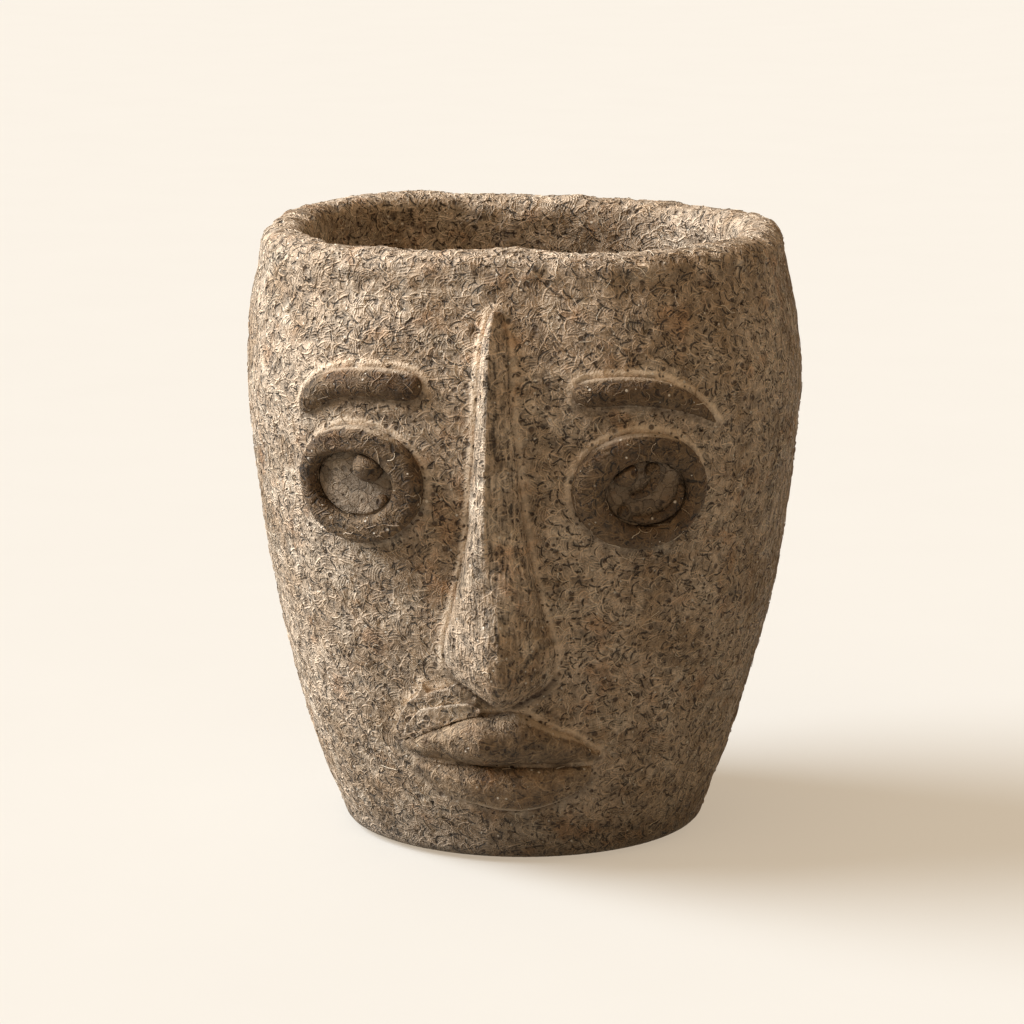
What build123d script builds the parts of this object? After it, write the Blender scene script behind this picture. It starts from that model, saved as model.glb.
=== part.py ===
from build123d import *
import os
from math import cos, pi, sin
from numpy import interp

# A head planter: a hand-formed pot of stone and fibre mix, with a face applied in rolls of the same mix.
# The pot stands along +Z and its face looks along -Y. Left means -X, as seen from the front.
# The origin is the centre of the base, on the surface that the pot stands on. Lengths are in millimetres.

# Overall sizes of the pot
total_height = 200
widest_half_width = 91.3
wall_thickness = 15.5
floor_thickness = 14
base_edge_radius = 5
floor_edge_radius = 9
# Rounding of the rim, as shares of the wall's thickness
rim_outer_share = 0.45
rim_inner_share = 0.39

# Shape of the wall from the base to the rim, as shares of the height and of the widest half width
height_shares = [0, 0.055, 0.135, 0.245, 0.37, 0.52, 0.695, 0.86, 1]
width_shares = [0.654, 0.698, 0.766, 0.837, 0.901, 0.956, 1, 0.981, 0.944]
# Depth over width: round at the base, flatter towards the rim
depth_shares = [1, 0.995, 0.985, 0.97, 0.96, 0.95, 0.945, 0.945, 0.945]
# Exponent of the outline, where 2 is an ellipse and more is squarer
square_shares = [2, 2.02, 2.08, 2.17, 2.27, 2.38, 2.48, 2.55, 2.6]
outline_points = 24

# Rubber pads under the base, set in from the edge of its flat
pad_radius = 7
pad_thickness = 1
pad_inset = 5
pad_count = 4
pad_circle_radius = widest_half_width * width_shares[0] - base_edge_radius - pad_inset - pad_radius

# Drain hole and its stopper
drain_radius = 8
drain_edge_radius = 1
stopper_clearance = 0.3
stopper_stem_recess = 3
stopper_stem_taper = 0.8
stopper_head_overlap = 5
stopper_head_thickness = 3
stopper_head_round = 1
stopper_grip_inset = 5.5
stopper_grip_thickness = 4
stopper_grip_height = 8
stopper_grip_round = 1.5

# Bond line behind each applied piece, and the gap between neighbours on the wall
bond_gap = 0.15
neighbour_gap = 0.4
# How deep a piece is drawn into the wall before its back is cut to the wall, and how far cuts run past
back_depth = 8
overrun = 12

# Mouth: half width, height of the line between the lips, and how far each lip reaches from that line
mouth_half_width = 31.5
mouth_line_height = 36.2
lip_gap = 0.5
upper_lip_height = 17.8
upper_lip_rise = 7.5
lower_lip_height = 14.4
lower_lip_rise = 6.5
# Stations run evenly from corner to corner, and the lower lip's corners are shares of the mouth half width
upper_top_shares = [0.33, 0.56, 0.715, 0.87, 0.98, 0.985, 0.995, 0.82, 0.635, 0.45, 0.22]
upper_foot_shares = [0.2, 0.085, 0.04, 0.015, 0, 0, 0, 0, 0.01, 0.03, 0.09]
upper_rise_shares = [0.2, 0.6, 0.8, 0.93, 1, 1, 1, 0.93, 0.8, 0.58, 0.2]
lower_corner_shares = (-0.857, 0.905)
lower_foot_shares = [0.18, 0.51, 0.74, 0.885, 0.975, 0.985, 0.875, 0.665, 0.222]
lower_rise_shares = [0.2, 0.62, 0.86, 0.97, 1, 1, 0.9, 0.66, 0.2]
# Profile of each lip from the mouth line outwards, as shares of its height and of its rise
upper_profile_shares = [(0, 0), (0.08, 0.62), (0.3, 1), (0.58, 0.93), (0.85, 0.64), (1, 0)]
lower_profile_shares = [(0, 0), (0.07, 0.66), (0.28, 1), (0.6, 0.97), (0.88, 0.7), (1, 0)]

# Torn flap of mix above the left half of the upper lip, as shares of the mouth half width and lip height,
# and the smaller fold that lies on it
ledge_rise = 1.8
fold_rise = 1.5
ledge_outline_shares = [
    (-1.054, 0.41), (-1.06, 0.58), (-1.01, 0.86), (-0.92, 1.12), (-0.82, 1.27), (-0.775, 1.5),
    (-0.72, 1.34), (-0.54, 1.42), (-0.42, 1.55), (-0.2, 1.3), (-0.3, 0.8), (-0.9, 0.35),
]
fold_outline_shares = [
    (-0.97, 0.5), (-0.94, 0.71), (-0.794, 1.03), (-0.55, 1.13), (-0.3, 1.2), (-0.16, 1.08),
    (-0.3, 0.7), (-0.8, 0.35),
]

# Nose: gaps to the lip and to the rim, widest half width, rise from the wall and lean of its tip
nose_lip_gap = 4.5
nose_rim_gap = 17
nose_bottom = mouth_line_height + upper_lip_height + nose_lip_gap
nose_top = total_height - nose_rim_gap
nose_half_width = 17.4
nose_rise = 15.8
nose_lean = 2.4
nose_height_shares = [0, 0.03, 0.065, 0.1, 0.14, 0.22, 0.31, 0.4, 0.5, 0.64, 0.78, 0.9, 0.965, 1]
nose_width_shares = [0.28, 0.62, 0.88, 0.985, 1, 0.86, 0.71, 0.575, 0.475, 0.39, 0.31, 0.245, 0.165, 0.07]
nose_rise_shares = [0.62, 0.83, 0.94, 0.985, 1, 0.93, 0.84, 0.755, 0.67, 0.575, 0.48, 0.375, 0.24, 0.1]
nose_lean_shares = [1, 0.85, 0.6, 0.4, 0.28, 0.2, 0.22, 0.24, 0.15, 0.1, 0, 0, 0.05, 0.12]
# Profile of the nose across its width, as shares of the half width and of the rise
nose_across_shares = [-1, -0.93, -0.72, -0.4, 0, 0.4, 0.72, 0.93, 1]
nose_crown_shares = [0, 0.48, 0.82, 0.965, 1, 0.965, 0.82, 0.48, 0]

# Brows: routes as shares of the widest half width and of the total height, and radius along the route
brow_radius = 5
brow_level = 0.4
left_brow_shares = [(-0.244, 0.793), (-0.296, 0.797), (-0.394, 0.801), (-0.504, 0.799),
                    (-0.586, 0.7865), (-0.646, 0.765), (-0.679, 0.743)]
left_brow_radius_shares = [0.35, 0.98, 1, 0.98, 0.93, 0.8, 0.28]
right_brow_shares = [(0.261, 0.788), (0.312, 0.791), (0.405, 0.794), (0.509, 0.791),
                     (0.597, 0.7795), (0.674, 0.76), (0.739, 0.7325)]
right_brow_radius_shares = [0.35, 0.92, 0.95, 0.94, 0.82, 0.56, 0.2]

# Eyes: centre of each roll as shares of the widest half width and total height, outer half sizes of the roll,
# half sizes of its opening, and the opening's place off centre as shares of the roll's half sizes
eye_ring_rise = 5.2
eye_ring_round_share = 0.92
eye_disc_rise = 2
left_eye_share = (-0.466, 0.6405)
left_eye_half_width = 21
left_eye_half_height = 18.8
left_opening_half_width = 13.7
left_opening_half_height = 10.7
left_opening_share = (-0.076, 0)
right_eye_share = (0.486, 0.638)
right_eye_half_width = 21.5
right_eye_half_height = 18.6
right_opening_half_width = 13
right_opening_half_height = 10.7
right_opening_share = (0.078, -0.05)

# Beads, comma and half coil on the eye discs, placed as shares of the opening's half sizes
left_pupil_share = (0.34, 0.56)
left_pupil_radius = 4.6
left_lump_share = (0.66, -0.48)
left_lump_radius = 2.4
right_pupil_share = (-0.46, 0.6)
right_pupil_radius = 3.7
right_lump_share = (-0.5, -0.52)
right_lump_radius = 1.9
curl_radius = 1.5
curl_head_radius = 2.5
curl_route_shares = [(-0.38, -0.03), (-0.13, -0.05), (0.125, 0.17), (0.233, 0.46), (0.163, 0.7)]
curl_radius_shares = [0.35, 0.85, 1, 1.1, 1.2]
coil_radius = 1.7
coil_route_shares = [(-0.3, -0.75), (0.05, -0.8), (0.4, -0.7), (0.66, -0.46), (0.8, -0.1), (0.78, 0.2)]
coil_radius_shares = [0.45, 0.9, 1, 1, 0.85, 0.4]

base_height = pad_thickness
floor_height = base_height + floor_thickness


def wall_sizes(z):
    """Half width, half depth and squareness of the wall's outline at a height."""
    share = (z - base_height) / (total_height - base_height)
    half_width = widest_half_width * interp(share, height_shares, width_shares)
    half_depth = half_width * interp(share, height_shares, depth_shares)
    return half_width, half_depth, interp(share, height_shares, square_shares)


def wall_point(x, z, level=0):
    """Point on the front of the wall, raised from it by a level."""
    half_width, half_depth, square = wall_sizes(z)
    across = abs(x) / (half_width + level)
    return Vector(x, -(half_depth + level) * (1 - across**square) ** (1 / square), z)


def wall_form(level, bottom=base_height, top=total_height):
    """Solid with the outline of the wall, grown by a level, between two heights."""
    inner_heights = [base_height + share * (total_height - base_height) for share in height_shares[1:-1]]
    heights = [bottom] + [z for z in inner_heights if bottom < z < top] + [top]
    with BuildPart() as form:
        for z in heights:
            half_width, half_depth, square = wall_sizes(z)
            outline = []
            for step in range(outline_points):
                along = cos(2 * pi * step / outline_points)
                aside = sin(2 * pi * step / outline_points)
                reach = abs(along / (half_width + level)) ** square + abs(aside / (half_depth + level)) ** square
                outline.append((along / reach ** (1 / square), aside / reach ** (1 / square)))
            with BuildSketch(Plane.XY.offset(z)):
                with BuildLine():
                    Spline(*outline, periodic=True)
                make_face()
        loft()
    return form.part


def roll_form(route, radii):
    """Hand-rolled coil of mix along points on the wall, with its own radius at each point."""
    with BuildPart() as roll:
        with BuildLine() as line:
            Spline(*route)
        centre_line = line.edges()[0]
        for point, radius in zip(route, radii):
            share = centre_line.param_at_point(point)
            section = Plane(origin=point, x_dir=(0, -1, 0), z_dir=centre_line.tangent_at(share))
            with BuildSketch(section):
                Circle(radius)
        loft()
    return roll.part


def nose_form(growth):
    """Nose as a loft of level sections, drawn back into the wall, grown by a clearance."""
    with BuildPart() as form:
        for share, width_share, rise_share, lean_share in zip(
            nose_height_shares, nose_width_shares, nose_rise_shares, nose_lean_shares
        ):
            z = nose_bottom + share * (nose_top - nose_bottom)
            middle = lean_share * nose_lean
            half_width = width_share * nose_half_width + growth
            rise = rise_share * nose_rise + growth
            crown = []
            for across, up in zip(nose_across_shares, nose_crown_shares):
                x = middle + across * half_width
                crown.append((x, wall_point(x, z).Y - up * rise))
            back = wall_point(middle, z).Y + back_depth
            with BuildSketch(Plane.XY.offset(z)):
                with BuildLine():
                    Spline(*crown)
                    Polyline(crown[-1], (crown[-1][0], back), (crown[0][0], back), crown[0])
                make_face()
        loft()
    return form.part


def lip_form(corners, edges, feet, rises, profile_shares, growth):
    """Lip as a loft of upright sections from corner to corner, drawn back into the wall."""
    with BuildPart() as form:
        for index, (edge, line, rise) in enumerate(zip(edges, feet, rises)):
            x = corners[0] + (corners[1] - corners[0]) * index / (len(edges) - 1)
            crown = []
            for height_share, rise_share in profile_shares:
                z = line + height_share * (edge - line)
                outward = wall_point(x, z).Y - rise_share * (rise + growth)
                crown.append((outward, z))
            back = wall_point(x, line).Y + back_depth
            with BuildSketch(Plane.YZ.offset(x)):
                with BuildLine():
                    Spline(*crown)
                    Polyline(crown[-1], (back, crown[-1][1]), (back, crown[0][1]), crown[0])
                make_face()
        loft()
    return form.part


def upper_lip_form(growth):
    """Upper lip, grown by a clearance on its outer edge."""
    line = mouth_line_height + lip_gap / 2
    return lip_form(
        (-mouth_half_width - growth, mouth_half_width + growth),
        [line + share * upper_lip_height + growth for share in upper_top_shares],
        [line + share * upper_lip_height for share in upper_foot_shares],
        [share * upper_lip_rise for share in upper_rise_shares],
        upper_profile_shares,
        growth,
    )


def face_point(share, level=0):
    """Point on the wall from shares of the widest half width and of the total height."""
    return wall_point(share[0] * widest_half_width, share[1] * total_height, level)


def eye_point(centre, half_width, half_height, share, level):
    """Point on the wall from shares of half sizes, counted from the centre of an eye or of its opening."""
    return wall_point(centre[0] + share[0] * half_width, centre[1] + share[1] * half_height, level)


os.makedirs("parts", exist_ok=True)
bond_form = wall_form(bond_gap)
ring_form = wall_form(eye_ring_rise)
disc_form = wall_form(eye_disc_rise)
disc_bond_form = wall_form(eye_disc_rise + bond_gap)
ledge_form = wall_form(ledge_rise)
ledge_bond_form = wall_form(ledge_rise + bond_gap)
fold_form = wall_form(ledge_rise + fold_rise)
nose_clearance_form = nose_form(neighbour_gap)
lip_clearance_form = upper_lip_form(neighbour_gap)

# Pot body: the wall's outer form, hollowed from the top, with rounded edges and a drain hole
with BuildPart() as pot_body:
    add(wall_form(0))
    add(wall_form(-wall_thickness, floor_height, total_height), mode=Mode.SUBTRACT)
    rim_edges = pot_body.faces().sort_by(Axis.Z)[-1].edges().sort_by(SortBy.LENGTH)
    fillet(rim_edges[-1], rim_outer_share * wall_thickness)
    rim_edges = pot_body.faces().sort_by(Axis.Z)[-1].edges().sort_by(SortBy.LENGTH)
    fillet(rim_edges[0], rim_inner_share * wall_thickness)
    fillet(pot_body.faces().sort_by(Axis.Z)[0].edges(), base_edge_radius)
    fillet(pot_body.faces().filter_by(Plane.XY).sort_by(Axis.Z)[1].edges(), floor_edge_radius)
    with Locations((0, 0, floor_height)):
        Hole(drain_radius)
    chamfer(pot_body.faces().sort_by(Axis.Z)[0].edges().sort_by(SortBy.LENGTH)[0], drain_edge_radius)
pot_body.part.label = "pot_body"
export_step(pot_body.part, "parts/pot_body.step")

# Nose, with its back cut to the wall
with BuildPart() as nose:
    add(nose_form(0))
    add(bond_form, mode=Mode.SUBTRACT)
nose.part.label = "nose"
export_step(nose.part, "parts/nose.step")

# Brows, one roll each
for name, shares, radius_shares in (
    ("left_brow", left_brow_shares, left_brow_radius_shares),
    ("right_brow", right_brow_shares, right_brow_radius_shares),
):
    with BuildPart() as brow:
        add(roll_form([face_point(share, brow_level) for share in shares], [brow_radius * s for s in radius_shares]))
        add(bond_form, mode=Mode.SUBTRACT)
    brow.part.label = name
    export_step(brow.part, f"parts/{name}.step")

# Eyes: a closed roll, a low disc inside it, and beads on the disc
for (side, eye_share, half_width, half_height, opening_share, opening_half_width, opening_half_height,
     pupil_share, pupil_radius, lump_share, lump_radius) in (
    ("left", left_eye_share, left_eye_half_width, left_eye_half_height,
     left_opening_share, left_opening_half_width, left_opening_half_height,
     left_pupil_share, left_pupil_radius, left_lump_share, left_lump_radius),
    ("right", right_eye_share, right_eye_half_width, right_eye_half_height,
     right_opening_share, right_opening_half_width, right_opening_half_height,
     right_pupil_share, right_pupil_radius, right_lump_share, right_lump_radius),
):
    centre = (eye_share[0] * widest_half_width, eye_share[1] * total_height)
    shift = (opening_share[0] * half_width, opening_share[1] * half_height)
    opening_centre = (centre[0] + shift[0], centre[1] + shift[1])
    corners = [
        eye_point(centre, half_width, half_height, share, 0)
        for share in ((-1, 0), (1, 0), (0, -1), (0, 1), (0, 0))
    ]
    across = (corners[1] - corners[0]).normalized()
    outward = across.cross(corners[3] - corners[2]).normalized()
    eye_plane = Plane(origin=corners[4] - outward * back_depth, x_dir=across, z_dir=outward)
    depth = 2 * back_depth + eye_ring_rise + pupil_radius
    narrowest = min(
        half_width - abs(shift[0]) - opening_half_width,
        half_height - abs(shift[1]) - opening_half_height,
    )
    round_radius = eye_ring_round_share * min(narrowest / 2, eye_ring_rise - bond_gap)

    with BuildPart() as ring:
        with BuildSketch(eye_plane):
            Ellipse(half_width, half_height)
            with Locations(shift):
                Ellipse(opening_half_width, opening_half_height, mode=Mode.SUBTRACT)
        extrude(amount=depth)
        add(ring_form, mode=Mode.INTERSECT)
        add(bond_form, mode=Mode.SUBTRACT)
        crown = ring.faces().sort_by(lambda face: (face.center() - corners[4]).dot(outward))[-1]
        fillet(crown.edges(), round_radius)
    ring.part.label = f"{side}_eye_ring"
    export_step(ring.part, f"parts/{side}_eye_ring.step")

    with BuildPart() as opening:
        with BuildSketch(eye_plane):
            with Locations(shift):
                Ellipse(opening_half_width - neighbour_gap, opening_half_height - neighbour_gap)
        extrude(amount=depth)

    with BuildPart() as disc:
        add(opening)
        add(disc_form, mode=Mode.INTERSECT)
        add(bond_form, mode=Mode.SUBTRACT)
    disc.part.label = f"{side}_eye_disc"
    export_step(disc.part, f"parts/{side}_eye_disc.step")

    for name, share, radius in (("pupil", pupil_share, pupil_radius), ("lump", lump_share, lump_radius)):
        place = eye_point(opening_centre, opening_half_width, opening_half_height, share, eye_disc_rise)
        with BuildPart() as bead:
            with Locations(Plane(origin=place, x_dir=across, z_dir=outward)):
                Sphere(radius)
            add(opening, mode=Mode.INTERSECT)
            add(disc_bond_form, mode=Mode.SUBTRACT)
        bead.part.label = f"{side}_{name}"
        export_step(bead.part, f"parts/{side}_{name}.step")

# Comma with a round head, and half coil, on the right disc: the loop above ends on the right eye
curl_route, coil_route = (
    [eye_point(opening_centre, opening_half_width, opening_half_height, share, eye_disc_rise) for share in shares]
    for shares in (curl_route_shares, coil_route_shares)
)
with BuildPart() as right_eye_curl:
    add(roll_form(curl_route, [curl_radius * share for share in curl_radius_shares]))
    with Locations(Plane(origin=curl_route[-1], x_dir=across, z_dir=outward)):
        Sphere(curl_head_radius)
    add(opening, mode=Mode.INTERSECT)
    add(disc_bond_form, mode=Mode.SUBTRACT)
right_eye_curl.part.label = "right_eye_curl"
export_step(right_eye_curl.part, "parts/right_eye_curl.step")

with BuildPart() as right_eye_coil:
    add(roll_form(coil_route, [coil_radius * share for share in coil_radius_shares]))
    add(opening, mode=Mode.INTERSECT)
    add(disc_bond_form, mode=Mode.SUBTRACT)
right_eye_coil.part.label = "right_eye_coil"
export_step(right_eye_coil.part, "parts/right_eye_coil.step")

# Lips
with BuildPart() as upper_lip:
    add(upper_lip_form(0))
    add(bond_form, mode=Mode.SUBTRACT)
upper_lip.part.label = "upper_lip"
export_step(upper_lip.part, "parts/upper_lip.step")

lower_lip_line = mouth_line_height - lip_gap / 2
with BuildPart() as lower_lip:
    add(lip_form(
        [share * mouth_half_width for share in lower_corner_shares],
        [lower_lip_line - share * lower_lip_height for share in lower_foot_shares],
        [lower_lip_line for share in lower_foot_shares],
        [share * lower_lip_rise for share in lower_rise_shares],
        lower_profile_shares,
        0,
    ))
    add(bond_form, mode=Mode.SUBTRACT)
lower_lip.part.label = "lower_lip"
export_step(lower_lip.part, "parts/lower_lip.step")

# Torn flap above the upper lip and the fold that lies on it, kept clear of the nose and the lip
for name, outline_shares, outer_form, under_form in (
    ("lip_ledge", ledge_outline_shares, ledge_form, bond_form),
    ("lip_ledge_fold", fold_outline_shares, fold_form, ledge_bond_form),
):
    with BuildPart() as flap:
        with BuildSketch(Plane(origin=(0, 0, mouth_line_height), x_dir=(1, 0, 0), z_dir=(0, -1, 0))):
            with BuildLine():
                Polyline(*[(x * mouth_half_width, z * upper_lip_height) for x, z in outline_shares], close=True)
            make_face()
        extrude(amount=widest_half_width + overrun)
        add(outer_form, mode=Mode.INTERSECT)
        add(under_form, mode=Mode.SUBTRACT)
        add(nose_clearance_form, mode=Mode.SUBTRACT)
        add(lip_clearance_form, mode=Mode.SUBTRACT)
    flap.part.label = name
    export_step(flap.part, f"parts/{name}.step")

# Rubber stopper: head on the floor of the pot, tapered stem in the drain hole, grip bar on top
stem_top_radius = drain_radius - stopper_clearance
stem_bottom = base_height + stopper_stem_recess
head_radius = drain_radius + stopper_head_overlap
with BuildPart() as drain_plug:
    with BuildSketch(Plane.XZ):
        with BuildLine():
            Polyline(
                (0, stem_bottom),
                (stem_top_radius - stopper_stem_taper, stem_bottom),
                (stem_top_radius, floor_height),
                (head_radius, floor_height),
                (head_radius, floor_height + stopper_head_thickness),
                (0, floor_height + stopper_head_thickness),
                close=True,
            )
        make_face()
    revolve(axis=Axis.Z)
    fillet(drain_plug.faces().sort_by(Axis.Z)[-1].edges(), stopper_head_round)
    with BuildSketch(Plane.XY.offset(floor_height + stopper_head_thickness)):
        SlotOverall(2 * (head_radius - stopper_grip_inset), stopper_grip_thickness)
    extrude(amount=stopper_grip_height)
    fillet(drain_plug.faces().sort_by(Axis.Z)[-1].edges(), stopper_grip_round)
drain_plug.part.label = "drain_plug"
export_step(drain_plug.part, "parts/drain_plug.step")

# Rubber pads under the base
for index in range(pad_count):
    angle = 2 * pi * (index + 0.5) / pad_count
    with BuildPart() as foot_pad:
        with BuildSketch():
            with Locations((pad_circle_radius * cos(angle), pad_circle_radius * sin(angle))):
                Circle(pad_radius)
        extrude(amount=pad_thickness)
    foot_pad.part.label = f"foot_pad_{index + 1}"
    export_step(foot_pad.part, f"parts/foot_pad_{index + 1}.step")
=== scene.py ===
import math

import bmesh
import bpy
import numpy as np
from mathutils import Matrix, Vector, noise
from mathutils.bvhtree import BVHTree


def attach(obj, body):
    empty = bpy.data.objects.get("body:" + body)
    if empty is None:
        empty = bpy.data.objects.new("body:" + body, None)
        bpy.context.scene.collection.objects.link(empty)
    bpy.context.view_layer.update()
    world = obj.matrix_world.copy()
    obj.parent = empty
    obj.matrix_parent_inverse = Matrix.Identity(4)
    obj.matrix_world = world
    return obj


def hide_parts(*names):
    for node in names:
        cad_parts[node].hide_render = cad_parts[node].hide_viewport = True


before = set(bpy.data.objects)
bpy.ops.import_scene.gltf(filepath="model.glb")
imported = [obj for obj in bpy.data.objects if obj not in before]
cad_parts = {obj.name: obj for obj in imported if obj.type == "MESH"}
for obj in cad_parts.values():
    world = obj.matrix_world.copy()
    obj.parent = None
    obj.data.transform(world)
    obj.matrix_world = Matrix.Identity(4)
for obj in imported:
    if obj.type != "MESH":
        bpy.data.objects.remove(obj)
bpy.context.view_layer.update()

MM = 0.001
TURN = 2 * math.pi

# Camera, found from the outline, the base and the rim of the object in the photograph
camera_distance = 1180 * MM
camera_height = 346.1 * MM
camera_azimuth = math.radians(6)
camera_aim = Vector((-3.9 * MM, 0, 103.2 * MM))
camera_lens = 127.2
camera_sensor = 36
camera_reach = 50

# Vessel: what the wall grid needs to know of the pot
rim_centre_height = 192 * MM
base_height = 1 * MM
base_round = 5 * MM
floor_height = 15 * MM
drain_radius = 8 * MM
drain_edge = 1 * MM
inner_foot_height = 26 * MM
outside_reach = 140 * MM
base_shares = (0, 0.12, 0.3, 0.5, 0.7, 0.85, 0.95)
base_round_steps = 7
inner_spread = 1.35
inner_floor_shares = (0.965, 0.91, 0.84, 0.72, 0.55, 0.38, 0.27)

# Wall grid: columns lie closer on the face side, and rows on the outside
front_columns = 332
back_columns = 66
front_half_angle = math.radians(100)
outer_rows = 172
rim_rows = 19
inner_rows = 32

# Lift of the uneven rim in millimetres, by degrees round the pot from its right side
rim_lifts = (
    (-180, 1.2), (-150, 0.6), (-115, -0.6), (-98, 1.0), (-84, 0.9), (-70, -0.7), (-45, 0.1), (0, 0.4),
    (40, -0.9), (75, 0.2), (100, 1.0), (125, 2.4), (150, 1.6), (180, 1.2),
)

# Hand-pressed mix: size of its lumps, how far they stand out, both in millimetres, and the noise's seed
wall_lump_sizes = ((48, 0.35, 1), (21, 0.3, 2))
fine_lump_sizes = ((9, 0.3, 3), (4, 0.22, 4))
rim_lump_sizes = ((17, 0.55, 5), (7, 0.45, 6))
piece_lump_sizes = ((7, 0.5, 8), (3, 0.35, 9), (1.5, 0.16, 10))
# Sides drawn in from the round, left then right: heights, how far at each, and where across the width it begins
drawn_in_sides = (
    (-1, (0, 10, 35, 72, 100, 150, 165, 178, 190), (0.3, 1.2, 1.4, 2.0, 2.3, 2.5, 2.1, 0.5, 0)),
    (1, (0, 10, 35, 60, 90, 120, 165, 178, 190), (0.4, 1.2, 1.1, 0.8, 0.3, 0.4, 0.9, 0.2, 0)),
)
drawn_in_from, drawn_in_to = 48 * MM, 80 * MM
pit_share, pit_depth = 0.008, 0.9 * MM

# Where the wall's own marks begin and are whole: above the pads, round the stopper, at the rough rim, in its waves
pads_from, pads_to = 0, 4 * MM
plug_from, plug_to = 15 * MM, 24 * MM
rough_from, rough_to, rim_roughness = 180 * MM, 193 * MM, 1.6
waves_over, waves_from, waves_to = 165 * MM, 168 * MM, 198 * MM

# Mix drawn up to the applied pieces: height and reach of the swell, how pale its ridge is above, beside and below
# the piece (partly pale wiped mix, partly painted highlight where the lamp falls), how dark the painted shade at the
# joint below is, and how many times further down that painted shade reaches than the joint
drawn_up_joints = (
    (("nose",), 1.0 * MM, 2.0 * MM, 0.5, 0.75, 0.1, 1.35, 2.2),
    (("left_brow", "right_brow", "left_eye_ring", "right_eye_ring"), 0.4 * MM, 1.5 * MM, 0.9, 0.4, 0, 0.8, 1),
    (("upper_lip", "lip_ledge"), 0.3 * MM, 1.3 * MM, 0.7, 0.35, 0.2, 1.1, 1),
    (("lower_lip",), 0.3 * MM, 1.3 * MM, 0.3, 0.5, 0.1, 1.3, 2.6),
)
far_from_pieces = 9 * MM
face_side = -30 * MM
mouth_top = 60 * MM
parting_reach, parting_lift = 1.5 * MM, 2.6 * MM

# Noise of another seed is read this far away
seed_steps = (7.31, 3.17, 5.73)

pot_pieces = "pot"


def linear(hex_colour):
    """Turns an sRGB hex value into the linear colour that sockets take."""
    channels = [int(hex_colour[i : i + 2], 16) / 255 for i in (1, 3, 5)]
    return [c / 12.92 if c <= 0.04045 else ((c + 0.055) / 1.055) ** 2.4 for c in channels] + [1]


def add_node(tree, kind, *inputs, out=0, named=None, **settings):
    """Adds a node with its settings, sets or links its inputs by place and by name, and gives one output."""
    node = tree.nodes.new(kind)
    for name, value in settings.items():
        setattr(node, name, value)
    for socket, value in [*enumerate(inputs), *(named or {}).items()]:
        if isinstance(value, bpy.types.NodeSocket):
            tree.links.new(value, node.inputs[socket])
        elif value is not None:
            node.inputs[socket].default_value = value
    return node.outputs[out] if node.outputs else None


def new_object(name, data):
    """Links a mesh, a camera or a lamp to the scene under a name, at the origin."""
    obj = bpy.data.objects.new(name, data)
    bpy.context.scene.collection.objects.link(obj)
    return obj


def shade_smooth(mesh):
    """Shades every face of a mesh smooth."""
    mesh.polygons.foreach_set("use_smooth", [True] * len(mesh.polygons))


def coordinates(mesh):
    """Vertex places of a mesh as an array of rows."""
    places = np.zeros(len(mesh.vertices) * 3, np.float32)
    mesh.vertices.foreach_get("co", places)
    return places.reshape(-1, 3).astype(float)


def normals(mesh):
    """Vertex normals of a mesh as an array of rows."""
    values = np.zeros(len(mesh.vertices) * 3, np.float32)
    mesh.vertex_normals.foreach_get("vector", values)
    return values.reshape(-1, 3).astype(float)


def put_coordinates(mesh, places):
    """Writes vertex places back to a mesh."""
    mesh.vertices.foreach_set("co", places.astype(np.float32).ravel())
    mesh.update()


def put_attribute(mesh, name, values):
    """Stores one number for each vertex under a name."""
    attribute = mesh.attributes.get(name) or mesh.attributes.new(name, "FLOAT", "POINT")
    attribute.data.foreach_set("value", np.asarray(values, np.float32))


def merged_mesh(node):
    """Copy of a CAD node's mesh with its loose triangles joined."""
    shell = bmesh.new()
    shell.from_mesh(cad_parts[node].data)
    bmesh.ops.remove_doubles(shell, verts=shell.verts, dist=0.001 * MM)
    mesh = bpy.data.meshes.new(node + "_copy")
    shell.to_mesh(mesh)
    shell.free()
    return mesh


def tree_of(*nodes):
    """Search tree over the surfaces of one or more CAD nodes."""
    corners, faces = [], []
    for node in nodes:
        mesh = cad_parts[node].data
        start = len(corners)
        corners.extend(v.co[:] for v in mesh.vertices)
        faces.extend([start + i for i in p.vertices] for p in mesh.polygons)
    return BVHTree.FromPolygons(corners, faces)


def smooth_step(low, high, values):
    """Rises smoothly from 0 at low to 1 at high."""
    share = np.clip((np.asarray(values) - low) / (high - low), 0, 1)
    return share * share * (3 - 2 * share)


def noise_at(places, grain, seed):
    """Smooth noise between about -1 and 1, with features of a real size."""
    offset = Vector([seed * step for step in seed_steps])
    return np.array([noise.noise(Vector(place) / grain + offset) for place in places])


# Camera
camera_data = bpy.data.cameras.new("camera")
camera_data.lens = camera_lens
camera_data.sensor_width = camera_sensor
camera_data.clip_end = camera_reach
camera = new_object("camera", camera_data)
camera.location = (
    camera_distance * math.sin(camera_azimuth),
    -camera_distance * math.cos(camera_azimuth),
    camera_height,
)
camera.rotation_euler = (camera_aim - camera.location).to_track_quat("-Z", "Y").to_euler()
bpy.context.scene.camera = camera


# Materials: all pattern sizes are in millimetres
MATH = "ShaderNodeMath"
VECTOR = "ShaderNodeVectorMath"
MIX = "ShaderNodeMix"
STEP = "ShaderNodeMapRange"

# Raised strands and pressed grooves: the cell that holds one, its half length and half width, where the pattern
# lies, and its height or depth
raised_strands = ((5.2, 2.7, 0.42, 5, 0.5), (4.1, 2.1, 0.34, 23, 0.42), (3.0, 1.3, 0.27, 61, 0.32))
pressed_grooves = ((4.6, 2.3, 0.34, 37, 0.4), (3.5, 1.7, 0.26, 71, 0.34))
raised_share, groove_share = 0.72, 0.5
brushed_patches = (6.5, 3.2, 2.4, 83)
brushed_pitch, brushed_height = 0.85, 0.1
slits = (3.4, 0.8, 0.36, 97)
slit_share = 0.22

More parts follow.
